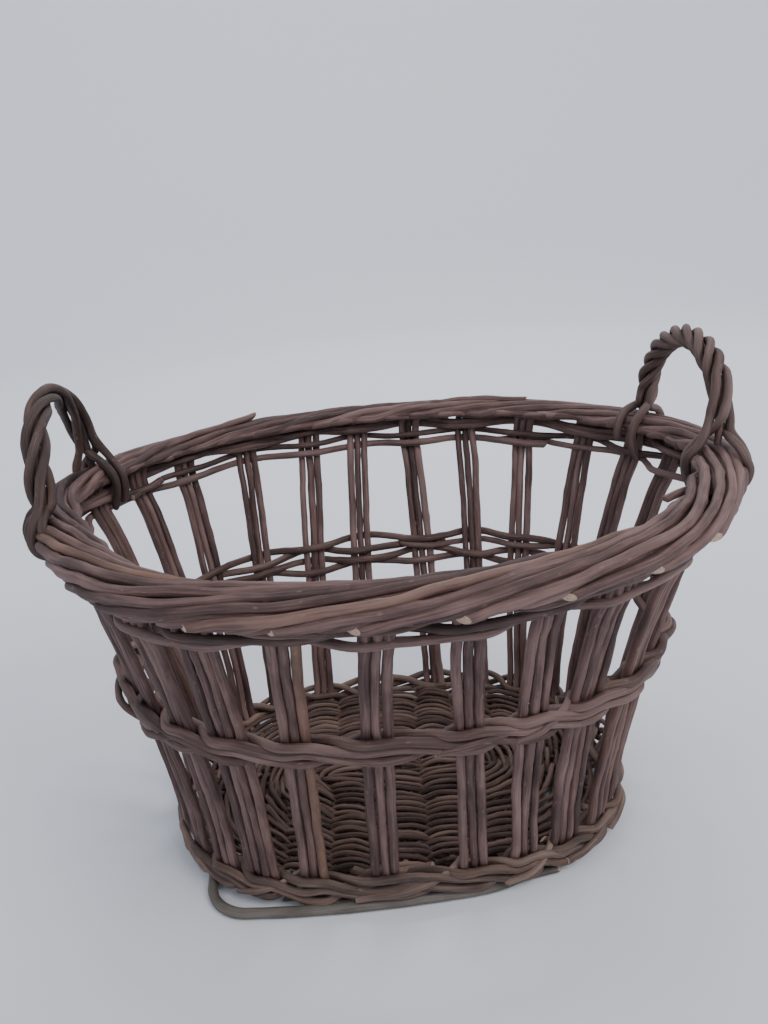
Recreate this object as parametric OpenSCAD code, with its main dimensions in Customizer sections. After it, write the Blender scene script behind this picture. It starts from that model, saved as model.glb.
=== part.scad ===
// Oval willow log basket: openwork wall of upright stake groups, three bands of
// woven rods, a rolled border, a close-woven base on a foot hoop and two roped handles.
// Origin: bottom centre. +X along the length, +Y across the width, +Z up. Millimetres.

/* [Basket] */
// Length of the rim over the border, before it is pressed in
rim_l = 460; // [440:2:480]
// Width of the rim over the border
rim_w = 388; // [370:2:400]
// Height of the top of the border
rim_h = 245; // [240:1:255]
// Length of the base, measured at the stakes
base_l = 290; // [280:2:300]
// Width of the base, measured at the stakes
base_w = 218; // [210:2:230]
// How square the base oval is (2 is an ellipse)
base_square = 2.7; // [2.4:0.1:3]
// How far the rim is pressed in at the front of its left end
left_dent = 19; // [12:1:20]
// How far the rim is pressed in at the front of its right end
right_dent = 7; // [0:1:9]
// How far the base sits to the left of the middle of the basket
base_offset = 7; // [5:1:8]
// How far the wall bows inwards on its way up, at the long sides
wall_bow = 0.62; // [0.5:0.02:0.7]
// How far the wall bows inwards on its way up, at the ends
end_bow = 0.34; // [0.3:0.02:0.4]

/* [Stakes] */
// Thickness of an upright stake rod
stake_d = 5.4; // [5:0.1:5.6]
// Upright rods in each group
stake_rods = 3; // [2:1:3]
// Space between the rods of a group
stake_gap = 0.5; // [0.4:0.1:0.8]
// Length of the stake butt pushed into the base
butt_l = 14; // [8:1:18]

/* [Woven bands] */
// Thickness of a band rod
band_d = 5.4; // [5:0.1:5.6]
// Height of the middle band above the floor
middle_z = 126; // [110:1:140]

/* [Border] */
// Width of the rolled border
border_w = 33; // [32:0.5:35]
// Depth of the rolled border
border_h = 21; // [20.5:0.5:22]
// Thickness of one turned-down strand of the border
strand_d = 6.6; // [6:0.1:6.8]
// Stake groups that each border strand runs past
border_run = 5; // [4:1:5]

/* [Handles] */
// Rise of the handles over the middle of the border
handle_rise = 72; // [68:1:76]
// Half the distance between the feet of the right handle
right_half = 46; // [42:1:52]
// How far the right handle sits behind the middle of the basket
right_shift = 27; // [18:1:32]
// Half the distance between the feet of the left handle
left_half = 55; // [50:1:60]
// How far the left handle sits behind the middle of the basket
left_shift = 11; // [6:1:14]
// Outward lean of the handles
handle_lean = 5; // [0:1:8]
// Thickness of the handle core
core_d = 5.6; // [5:0.1:6]
// Thickness of the rods roped round the core
rope_d = 4.4; // [4:0.1:4.6]
// Turns that each rod makes round the core
rope_turns = 3; // [2:1:4]

/* [Base] */
// Thickness of the foot hoop rod
hoop_d = 6.4; // [6:0.1:6.8]
// Thickness of each woven face of the base
weave_t = 3; // [2.5:0.1:3]
// Thickness of the short sticks across the base
cross_d = 5.6; // [5.4:0.1:5.6]
// Thickness of the long sticks threaded through the short ones
long_d = 3; // [2.6:0.1:3.2]

/* [Hidden] */
$fn = 48;

// Directions of the stake groups round the rim, in degrees, as set out by hand
stake_at = [12, 25, 39, 55, 69, 82, 93, 104, 119, 135, 148, 162, 176, 190, 204, 217,
            231, 243, 256, 268, 279, 290, 302, 317, 331, 345, 358];
groups = len(stake_at);
// Sideways drift of a stake between the rim and the base, in degrees
stake_drift = 4.5;
// Distance of the stakes inside the rim's outer edge, at its sides and at its ends
wall_inset = 8;
end_inset = 14;
// Height where the wall starts
wall_foot = 4;
// How far the rim's ellipse sits to the left, so that the pressed-in rim is centred
rim_offset = 2;

// Layers of the base, from the floor up
clear = 0.1;
hoop_z = hoop_d / 2 - 0.4;
weave_low_z = hoop_z + hoop_d / 2 + clear;
stick_z = weave_low_z + weave_t + clear + cross_d / 2;
weave_up_z = stick_z + cross_d / 2 + clear;
weave_inset = 10;

// Bend at the foot of a stake: its radius, how much it swells, and how far its neighbours lap into it
stake_bend = 8;
bend_swell = 0.3;
lap = 0.6;

// Border section: the strands orbit the border's centre line
orbit_w = (border_w - strand_d) / 2;
orbit_h = (border_h - strand_d) / 2;
border_z = rim_h - border_h / 2;
border_a = rim_l / 2 - border_w / 2;
border_b = rim_w / 2 - border_w / 2;
strand_start = 250;
strand_step = 60;
stake_top = border_z - border_h / 2 - 0.6;

// Bands: level spacing of the outside rods, and distance of a band rod from the stakes
band_step = band_d + 0.7;
band_off = (stake_d + band_d) / 2 + 0.1;
upsett_z = 9;
upsett_in_z = 22.6;
top_d = 4.6;
top_step = 5;
top_z = stake_top - top_d / 2 - top_step;
top_off = (stake_d + top_d) / 2 + 0.1;
// A band rod lies flat over a group for this share of the way to the next group
flat_share = 0.27;
seam = 0.015;

// Handles: distance of the roped rods from the core's line, and height of the core's feet
// over the border's centre line
helix_r = (core_d + rope_d) / 2 + 0.25;
core_lift = border_h / 2 + 1.6;

willow = "#6d5b53";
willow_dark = "#54463f";
willow_tan = "#8a6f5e";
willow_green = "#5d5a4c";

function unit(v) = v / norm(v);
function signed_pow(v, e) = sign(v) * pow(abs(v), e);
function oval(t, a, b, n) = [a * signed_pow(cos(t), 2 / n), b * signed_pow(sin(t), 2 / n)];

// Direction of a place round the basket counted in stake groups, such as 2.5
function group_angle(v) =
  let (i = floor(v), f = v - i)
  (1 - f) * whole_angle(i) + f * whole_angle(i + 1);
function whole_angle(i) =
  let (turn = floor(i / groups))
  stake_at[i - turn * groups] + 360 * turn;

// Rim ellipse at direction t, pressed in at the front of its two ends
function dent(t, at, reach) =
  let (away = abs((t - at + 540) % 360 - 180))
  away < reach ? (1 + cos(180 * away / reach)) / 2 : 0;
function rim_line(t, a, b) =
  oval(t, a, b, 2)
  * (1 - (left_dent * dent(t, 205, 42) + right_dent * dent(t, 335, 28)) / (rim_l / 2))
  - [rim_offset, 0];

// Centre line of the wall at direction t and height z
function wall_foot_at(t) =
  oval(t - stake_drift * sin(2 * t), base_l / 2, base_w / 2, base_square) - [base_offset, 0];
function wall_rim_at(t) = rim_line(t, rim_l / 2 - end_inset, rim_w / 2 - wall_inset);
function flare(t, z) =
  let (
    s = (z - wall_foot) / (rim_h - wall_foot),
    bow = wall_bow + (end_bow - wall_bow) * pow(cos(t), 2)
  )
  s - bow * s * (1 - s);
function wall_at(t, z) =
  wall_foot_at(t) + (wall_rim_at(t) - wall_foot_at(t)) * flare(t, z);
function outward(p, q) = unit([q[1] - p[1], p[0] - q[0]]);
function wall_out(t, z) = outward(wall_at(t - 0.5, z), wall_at(t + 0.5, z));

// Point beside the wall: v counts groups, off is outwards, z is the height
function beside_wall(v, off, z) =
  let (t = group_angle(v), p = wall_at(t, z) + off * wall_out(t, z))
  [p[0], p[1], z];

// Point in the border's section: t is the direction, off and rise from its centre line
function border_at(t) = rim_line(t, border_a, border_b);
function in_border(t, off, rise) =
  let (p = border_at(t) + off * outward(border_at(t - 0.5), border_at(t + 0.5)))
  [p[0], p[1], border_z + rise];

// Rod swept along points, with flat ends; ref is never in line with the rod
module rod(points, d, ref, sides = 6) {
  last = len(points) - 1;
  ring_points = [
    for (i = [0:last])
      let (
        along = unit(points[min(i + 1, last)] - points[max(i - 1, 0)]),
        u = unit(cross(ref, along)),
        w = cross(along, u)
      )
      for (k = [0:sides - 1])
        points[i] + d / 2 * (cos(360 * k / sides) * u + sin(360 * k / sides) * w)
  ];
  walls = [
    for (i = [0:last - 1])
      for (k = [0:sides - 1])
        let (m = (k + 1) % sides, low = i * sides, high = low + sides)
        each [[low + k, high + k, high + m], [low + k, high + m, low + m]]
  ];
  near_end = [for (k = [0:sides - 1]) k];
  far_end = [for (k = [0:sides - 1]) last * sides + sides - 1 - k];
  polyhedron(points = ring_points, faces = concat([near_end], walls, [far_end]));
}

// Centre of the circle through three points of a plane
function circle_centre(a, b, c) =
  let (
    ab = b - a,
    ac = c - a,
    k = 2 * (ab[0] * ac[1] - ab[1] * ac[0]),
    p = ab * ab,
    q = ac * ac
  )
  a + [ac[1] * p - ab[1] * q, ab[0] * q - ac[0] * p] / k;

// One upright rod in its own vertical plane: thinned butt, tight swollen bend and flared arc
module stake_rod(t, lean) {
  heights = [20, 120, stake_top];
  wall = [for (z = heights) [lean * flare(t, z), z]];
  centre = circle_centre(wall[0], wall[1], wall[2]);
  arc_r = norm(wall[0] - centre);
  bend_z = stick_z + stake_bend;
  reach = arc_r + stake_bend;
  bend = [centre[0] - sqrt(reach * reach - pow(centre[1] - bend_z, 2)), bend_z];
  top_angle = atan2(wall[2][1] - centre[1], wall[2][0] - centre[0]);
  low_angle = atan2(bend[1] - centre[1], bend[0] - centre[0]);
  lap_angle = 360 * lap / (2 * PI * arc_r);
  rod_arc(centre, arc_r, top_angle, low_angle - top_angle + lap_angle, stake_d);
  rod_arc(bend, stake_bend, 270, low_angle - 90, stake_d + bend_swell);
  translate([bend[0] - butt_l, 0, stick_z])
    rotate([0, 90, 0])
      cylinder(d = stake_d - bend_swell, h = butt_l + lap);
}

// Round rod bent along part of a circle that stands in the XZ plane
module rod_arc(centre, r, start, angle, d) {
  translate([centre[0], 0, centre[1]])
    rotate([90, 0, 0])
      rotate([0, 0, start])
        rotate_extrude(angle = angle)
          translate([r, 0])
            circle(d = d);
}

// Border strand that the rods of group i turn into: up the inside, over, down the outside
module border_strand(i) {
  steps = 3 * border_run;
  points = [
    for (k = [0:steps])
      let (
        run = border_run * k / steps,
        turn = strand_start - strand_step * run * 5 / border_run
      )
      in_border(group_angle(i - run), orbit_w * cos(turn), orbit_h * sin(turn))
  ];
  rod(points, strand_d, [0, 0, 1]);
}

// Upright rods side by side along the wall, and the border strand that they turn into
module stakes(i) {
  foot = wall_foot_at(stake_at[i]);
  across = wall_rim_at(stake_at[i]) - foot;
  along = wall_at(stake_at[i] + 1, middle_z) - wall_at(stake_at[i] - 1, middle_z);
  slide = (along * across) / (across[0] * along[1] - across[1] * along[0]);
  color(i % 5 == 2 ? willow_tan : willow) {
    for (k = [0:stake_rods - 1])
      translate([foot[0], foot[1], 0])
        rotate([0, 0, atan2(across[1], across[0])])
          translate((k - (stake_rods - 1) / 2) * (stake_d + stake_gap) * [slide, 1, 0])
            stake_rod(stake_at[i], norm(across));
    border_strand(i);
  }
}

// Place of a band rod at group g: behind the stakes, or at one of the outside levels
function band_place(g, rods, z, step, off, in_z) =
  let (phase = ((g % rods) + rods) % rods)
  phase == 0 ? [-off, in_z] : [off, z + (rods - 1 - phase) * step];
// Place halfway to the next group, where a rod crosses the wall line or drops a level
function band_cross(g, rods, z, step, off, in_z) =
  let (
    phase = ((g % rods) + rods) % rods,
    here = band_place(g, rods, z, step, off, in_z),
    next = band_place(g + 1, rods, z, step, off, in_z)
  )
  phase == 0 ? [0, max(in_z, z + (rods - 2) * step)]
  : phase == rods - 1 ? [0, z]
  : (here + next) / 2 + [0.4, 0];

// Band of rods, each passing in front of all but one group in turn and behind that one
module band_rod(k, rods, z, step, off, in_z, d) {
  places = [
    [-0.5 + seam, band_cross(-1 - k, rods, z, step, off, in_z)],
    for (g = [0:groups - 1])
      each [
        [g - flat_share, band_place(g - k, rods, z, step, off, in_z)],
        [g + flat_share, band_place(g - k, rods, z, step, off, in_z)],
        [g + 0.5 - (g == groups - 1 ? seam : 0), band_cross(g - k, rods, z, step, off, in_z)]
      ]
  ];
  points = [for (p = places) beside_wall(p[0], p[1][0], p[1][1])];
  rod(points, d, [0, 0, 1]);
}

module upsett_rod(k) {
  color(willow_tan)
    band_rod(k, 4, upsett_z, band_step, band_off, upsett_in_z, band_d);
}

module middle_band_rod(k) {
  color(willow)
    band_rod(k, 4, middle_z, band_step, band_off, middle_z + 2 * band_step, band_d);
}

module top_band_rod(k) {
  color(willow_dark)
    band_rod(k, 3, top_z, top_step, top_off, top_z + top_step, top_d);
}

// Sticks of the base: short ones across, with long ones threaded through them
cross_count = 7;
cross_pitch = 30;
long_count = 3;
long_pitch = 16;
stick_inset = 2 * weave_inset + 16;
function stick_reach(at, a, b) =
  (b - stick_inset) * pow(1 - pow(abs(at) / a, base_square), 1 / base_square);

module long_stick(y, d) {
  reach = stick_reach(y, base_w / 2, base_l / 2);
  translate([-reach - base_offset, y, stick_z])
    rotate([0, 90, 0])
      cylinder(d = d, h = 2 * reach);
}

module base_cross_sticks() {
  color(willow_dark)
    for (k = [0:cross_count - 1]) {
      x = (k - (cross_count - 1) / 2) * cross_pitch;
      reach = stick_reach(x, base_l / 2, base_w / 2);
      difference() {
        translate([x - base_offset, reach, stick_z])
          rotate([90, 0, 0])
            cylinder(d = cross_d, h = 2 * reach);
        for (n = [0:long_count - 1])
          long_stick((n - (long_count - 1) / 2) * long_pitch, long_d + 2 * clear);
      }
    }
}

module base_long_sticks() {
  color(willow_dark)
    for (n = [0:long_count - 1])
      long_stick((n - (long_count - 1) / 2) * long_pitch, long_d);
}

module base_weave(z) {
  sides = 72;
  outline = [
    for (k = [0:sides - 1])
      oval(360 * k / sides, base_l / 2 - weave_inset, base_w / 2 - weave_inset, base_square)
  ];
  color(willow_dark)
    translate([-base_offset, 0, z])
      linear_extrude(weave_t)
        polygon(outline);
}

// Foot hoop: one rod bent tightly at its left corners and widely at its right ones
hoop_x = 127;
hoop_y = 115;
hoop_tight = 22;
hoop_wide = 98;

module hoop_corner(x, y, r, start) {
  translate([x, y, hoop_z])
    rotate([0, 0, start])
      rotate_extrude(angle = 90)
        translate([r, 0])
          circle(d = hoop_d);
}

module hoop_side(x, y, turn, length) {
  translate([x, y, hoop_z])
    rotate([0, 0, turn])
      rotate([0, 90, 0])
        cylinder(d = hoop_d, h = length);
}

module foot_hoop() {
  long_side = 2 * hoop_x - hoop_tight - hoop_wide;
  color(willow_green)
    translate([-base_offset, 0, 0])
    intersection() {
      union() {
        hoop_corner(hoop_tight - hoop_x, hoop_y - hoop_tight, hoop_tight, 90);
        hoop_corner(hoop_tight - hoop_x, hoop_tight - hoop_y, hoop_tight, 180);
        hoop_corner(hoop_x - hoop_wide, hoop_wide - hoop_y, hoop_wide, 270);
        hoop_corner(hoop_x - hoop_wide, hoop_y - hoop_wide, hoop_wide, 0);
        hoop_side(hoop_tight - hoop_x, hoop_y, 0, long_side);
        hoop_side(hoop_tight - hoop_x, -hoop_y, 0, long_side);
        hoop_side(-hoop_x, hoop_tight - hoop_y, 90, 2 * (hoop_y - hoop_tight));
        hoop_side(hoop_x, hoop_wide - hoop_y, 90, 2 * (hoop_y - hoop_wide));
      }
      translate([-rim_l / 2, -rim_w / 2, 0])
        cube([rim_l, rim_w, 2 * hoop_d]);
    }
}

// A handle is a half circle that stands on the border and leans outwards; a narrow one has
// short straight legs too. Handle 0 is the right one; handle 1 is laid out on the right as
// well and then mirrored. Directions of a handle's front and back foot:
function handle_feet(h) =
  let (shift = h == 0 ? right_shift : left_shift, half = h == 0 ? right_half : left_half)
  [asin((shift - half) / border_b), asin((shift + half) / border_b)];

// Point in the border's section by a handle; that of handle 1 is mirrored to the right
function at_handle(h, t, off, rise) =
  let (p = in_border(h == 0 ? t : 180 - t, off, rise))
  [h == 0 ? p[0] : -p[0], p[1], p[2]];

// Centre of a handle's half circle, its directions across, outwards and up, and its radius
function handle_frame(h) =
  let (
    feet = handle_feet(h),
    front = at_handle(h, feet[0], 0, 0),
    back = at_handle(h, feet[1], 0, 0),
    across = unit(back - front),
    out = unit(cross(across, [0, 0, 1]) + [0, 0, -tan(handle_lean)]),
    up = cross(out, across),
    r = norm(back - front) / 2
  )
  [(front + back) / 2 + (handle_rise - r) * up, across, out, up, r];

// Rod roped round the core from foot to foot, its ends astride the border
module rope_rod(h, k) {
  frame = handle_frame(h);
  feet = handle_feet(h);
  phase = 120 * k;
  way = h == 0 ? -1 : 1;
  spread = [8, 4, -4][k];
  foot_path = k == 0
            ? [[-0.5, -28], [6, -21.5], [10, -14.5], [15, -12], [19.4, -1], [13.5, 12]]
            : [[-18.5, -26], [-20.5, -17], [-20, -9], [-19.4, 0], [-13.5, 12.4]];
  front = [for (p = foot_path) at_handle(h, feet[0] - spread, p[0], p[1])];
  back = [
    for (n = [len(foot_path) - 1:-1:0])
      at_handle(h, feet[1] + spread, foot_path[n][0], foot_path[n][1])
  ];
  helix = [
    for (angle = [12:3:168])
      let (
        turn = phase + way * rope_turns * 360 * (angle - 12) / 156,
        ray = sin(angle) * frame[3] - cos(angle) * frame[1]
      )
      frame[0] + (frame[4] + helix_r * sin(turn)) * ray + helix_r * cos(turn) * frame[2]
  ];
  rod(concat(front, helix, back), rope_d, frame[2]);
}

// Core of a handle: one bent rod standing on the border
module handle_core(h) {
  frame = handle_frame(h);
  r = frame[4];
  leg = handle_rise - r - core_lift;
  cut = leg < 0 ? asin(-leg / r) : 0;
  translate(frame[0])
    rotate([0, 0, atan2(frame[1][1], frame[1][0]) - 90])
      rotate([0, handle_lean, 0])
        rotate([90, 0, 90]) {
          rotate([0, 0, cut])
            rotate_extrude(angle = 180 - 2 * cut)
              translate([r, 0])
                circle(d = core_d);
          if (leg > lap)
            for (side = [-1, 1])
              translate([side * r, -leg, 0])
                rotate([-90, 0, 0])
                  cylinder(d = core_d - bend_swell, h = leg + lap);
        }
}

module handle_right_core() { color(willow_tan) handle_core(0); }
module handle_right_rope(k) { color(willow) rope_rod(0, k); }
module handle_left_core() { color(willow_tan) mirror([1, 0, 0]) handle_core(1); }
module handle_left_rope(k) { color(willow) mirror([1, 0, 0]) rope_rod(1, k); }

stakes(0);  // stakes_01
stakes(1);  // stakes_02
stakes(2);  // stakes_03
stakes(3);  // stakes_04
stakes(4);  // stakes_05
stakes(5);  // stakes_06
stakes(6);  // stakes_07
stakes(7);  // stakes_08
stakes(8);  // stakes_09
stakes(9);  // stakes_10
stakes(10);  // stakes_11
stakes(11);  // stakes_12
stakes(12);  // stakes_13
stakes(13);  // stakes_14
stakes(14);  // stakes_15
stakes(15);  // stakes_16
stakes(16);  // stakes_17
stakes(17);  // stakes_18
stakes(18);  // stakes_19
stakes(19);  // stakes_20
stakes(20);  // stakes_21
stakes(21);  // stakes_22
stakes(22);  // stakes_23
stakes(23);  // stakes_24
stakes(24);  // stakes_25
stakes(25);  // stakes_26
stakes(26);  // stakes_27
upsett_rod(0);  // upsett_rod_1
upsett_rod(1);  // upsett_rod_2
upsett_rod(2);  // upsett_rod_3
upsett_rod(3);  // upsett_rod_4
middle_band_rod(0);  // middle_band_rod_1
middle_band_rod(1);  // middle_band_rod_2
middle_band_rod(2);  // middle_band_rod_3
middle_band_rod(3);  // middle_band_rod_4
top_band_rod(0);  // top_band_rod_1
top_band_rod(1);  // top_band_rod_2
top_band_rod(2);  // top_band_rod_3
base_cross_sticks();
base_long_sticks();
base_weave(weave_up_z);  // base_weave_upper
base_weave(weave_low_z);  // base_weave_lower
foot_hoop();
handle_right_core();
handle_right_rope(0);  // handle_right_rope_1
handle_right_rope(1);  // handle_right_rope_2
handle_right_rope(2);  // handle_right_rope_3
handle_left_core();
handle_left_rope(0);  // handle_left_rope_1
handle_left_rope(1);  // handle_left_rope_2
handle_left_rope(2);  // handle_left_rope_3
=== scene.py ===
import math

import bpy
import numpy as np
from mathutils import Matrix, Vector


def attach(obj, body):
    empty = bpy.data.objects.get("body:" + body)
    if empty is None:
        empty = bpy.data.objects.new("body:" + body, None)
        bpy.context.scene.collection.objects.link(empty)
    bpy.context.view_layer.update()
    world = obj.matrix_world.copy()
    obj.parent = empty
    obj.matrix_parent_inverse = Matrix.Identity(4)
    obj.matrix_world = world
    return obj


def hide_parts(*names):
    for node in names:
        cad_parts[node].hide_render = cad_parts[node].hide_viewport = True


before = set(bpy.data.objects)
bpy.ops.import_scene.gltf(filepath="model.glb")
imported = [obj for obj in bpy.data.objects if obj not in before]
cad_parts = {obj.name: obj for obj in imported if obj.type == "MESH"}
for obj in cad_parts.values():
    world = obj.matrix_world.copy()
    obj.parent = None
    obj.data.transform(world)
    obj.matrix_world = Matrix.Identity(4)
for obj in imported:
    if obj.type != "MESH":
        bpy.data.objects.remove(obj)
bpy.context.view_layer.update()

# ---------------------------------------------------------------- layout
# The same layout as the CAD part, in millimetres. Directions are in degrees,
# counter-clockwise seen from above; the front of the basket is at 270.
# STAKE_AT gives the direction of each group of upright rods.
STAKE_AT = (12, 25, 39, 55, 69, 82, 93, 104, 119, 135, 148, 162, 176, 190,
            204, 217, 231, 243, 256, 268, 279, 290, 302, 317, 331, 345, 358)
GROUPS = len(STAKE_AT)
FOOT_A, FOOT_B, FOOT_SQUARE = 145, 109, 2.7
RIM_A, RIM_B, RIM_HALF = 216, 186, 230
# The base and the rim's ellipse sit a little to the left, and the rim is pressed in
# at the front of both its ends: how far, in which direction and over how wide an arc
BASE_OFFSET, RIM_OFFSET = 7, 2
DENTS = ((19, 205, 42), (7, 335, 28))
# How far the groups lean sideways from foot to rim, in degrees
STAKE_DRIFT = 4.5
# The wall's heights, and how much it bows inwards at the sides and the ends
WALL_FOOT, RIM_H, SIDE_BOW, END_BOW = 4, 245, 0.62, 0.34
STAKE_D, STAKE_PITCH, STAKE_TOP = 5.3, 5.7, 227
UPSETT_Z, MIDDLE_Z, TOP_LEVELS, TOP_FILLER_Z = 9, 126, (212.4, 217.8, 223.0), 226.6
STICK_Z = 12.0
BORDER_A, BORDER_B, BORDER_Z = 213.5, 177.5, 234.5


def spow(v, e):
    """v to the power e, keeping its sign."""
    return np.sign(v) * np.abs(v) ** e


def oval(t, a, b, n):
    """Point of a superellipse at direction t in degrees."""
    t = np.radians(t)
    return np.stack([a * spow(np.cos(t), 2 / n), b * spow(np.sin(t), 2 / n)], -1)


INDEX = np.arange(-2 * GROUPS, 3 * GROUPS)
ANGLES = np.array([STAKE_AT[i % GROUPS] + 360 * (i // GROUPS) for i in INDEX], float)


def group_angle(v):
    """Direction of a place round the basket counted in stake groups."""
    return np.interp(v, INDEX, ANGLES)


def wall_foot(t):
    """Point of the wall's foot for a group at direction t."""
    return (oval(t - STAKE_DRIFT * np.sin(np.radians(2 * t)), FOOT_A, FOOT_B, FOOT_SQUARE)
            - (BASE_OFFSET, 0))


def rim_line(t, a, b):
    """Point of the pressed-in rim ellipse at direction t."""
    dent = 0
    for depth, at, reach in DENTS:
        away = np.abs((t - at + 180) % 360 - 180)
        dent = dent + depth * np.where(away < reach, 0.5 + 0.5 * np.cos(np.pi * away / reach), 0)
    return oval(t, a, b, 2) * (1 - dent / RIM_HALF)[..., None] - (RIM_OFFSET, 0)


def wall_rim(t):
    """Point of the wall at the rim's height."""
    return rim_line(t, RIM_A, RIM_B)


def flare(t, z):
    """Share of the way out from foot to rim at height z."""
    s = (np.asarray(z, float) - WALL_FOOT) / (RIM_H - WALL_FOOT)
    bow = SIDE_BOW + (END_BOW - SIDE_BOW) * np.cos(np.radians(t)) ** 2
    return s - bow * s * (1 - s)


def wall(t, z):
    """Point of the wall at height z."""
    return wall_foot(t) + (wall_rim(t) - wall_foot(t)) * flare(t, z)[..., None]


def border_line(t):
    """Point of the border's centre line."""
    return rim_line(t, BORDER_A, BORDER_B)


def outward(p, q):
    """Level unit vector out of the basket, from two points of a line round it."""
    d = q - p
    n = np.stack([d[..., 1], -d[..., 0]], -1)
    return n / np.linalg.norm(n, axis=-1, keepdims=True)


def beside_wall(v, off, z):
    """Points beside the wall: v counts groups, off is outwards, z is the height."""
    t, off, z = group_angle(np.asarray(v, float)), np.asarray(off, float), np.asarray(z, float)
    p = wall(t, z) + off[..., None] * outward(wall(t - 0.5, z), wall(t + 0.5, z))
    return np.concatenate([p, np.broadcast_to(z, p.shape[:-1])[..., None]], -1)


def in_border(v, off, rise):
    """Points in the border's section: off outwards and rise upwards from its centre line."""
    t = group_angle(np.asarray(v, float))
    off, rise = np.asarray(off, float), np.asarray(rise, float)
    p = border_line(t) + off[..., None] * outward(border_line(t - 0.5), border_line(t + 0.5))
    return np.concatenate([p, (BORDER_Z + rise)[..., None]], -1)


# ---------------------------------------------------------------- willow rods
def spline(points, step):
    """Smooth curve through the points, as points about step apart."""
    p = np.asarray(points, float)
    h = np.maximum(np.linalg.norm(np.diff(p, axis=0), axis=1), 1e-6)
    d = np.diff(p, axis=0) / h[:, None]
    m = np.empty_like(p)
    m[0], m[-1] = d[0], d[-1]
    m[1:-1] = (d[:-1] * h[1:, None] + d[1:] * h[:-1, None]) / (h[1:] + h[:-1])[:, None]
    s = np.concatenate([[0], np.cumsum(h)])
    u = np.linspace(0, s[-1], max(3, int(round(s[-1] / step)) + 1))
    i = np.clip(np.searchsorted(s, u, side="right") - 1, 0, len(h) - 1)
    x = ((u - s[i]) / h[i])[:, None]
    k = h[i][:, None]
    return ((2 * x**3 - 3 * x**2 + 1) * p[i] + (x**3 - 2 * x**2 + x) * k * m[i]
            + (3 * x**2 - 2 * x**3) * p[i + 1] + (x**3 - x**2) * k * m[i + 1])


def smoothstep(x, low=0.0, high=1.0):
    """Smooth rise from 0 at low to 1 at high."""
    x = np.clip((np.asarray(x, float) - low) / (high - low), 0, 1)
    return x * x * (3 - 2 * x)


def drift(rng, s, wave, amount):
    """Smooth random curve over the lengths s."""
    out = np.zeros(len(s))
    for k in (1.0, 0.57, 0.31):
        out += k * np.sin(2 * math.pi * s / (wave * k * rng.uniform(0.8, 1.25))
                          + rng.uniform(0, 2 * math.pi))
    return amount * out / 1.2


def moving_frames(p):
    """Tangents and turning-free side vectors along a path."""
    t = np.gradient(p, axis=0)
    t /= np.linalg.norm(t, axis=1, keepdims=True)
    side = np.empty_like(t)
    first = np.cross(t[0], (0.0, 0.0, 1.0) if abs(t[0, 2]) < 0.9 else (1.0, 0.0, 0.0))
    side[0] = first / np.linalg.norm(first)
    for i in range(1, len(p)):
        u = side[i - 1] - t[i] * (side[i - 1] @ t[i])
        side[i] = u / math.sqrt(u @ u)
    return t, side, np.cross(t, side)


CUT_INSET, CUT_PROUD, CUT_CROWN = 0.86, 0.22, 0.03    # bevel and crown of a cut end
END_STAY, END_TAPER = 12, 16    # lengths over which a rod stops straying, and tapers


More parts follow.
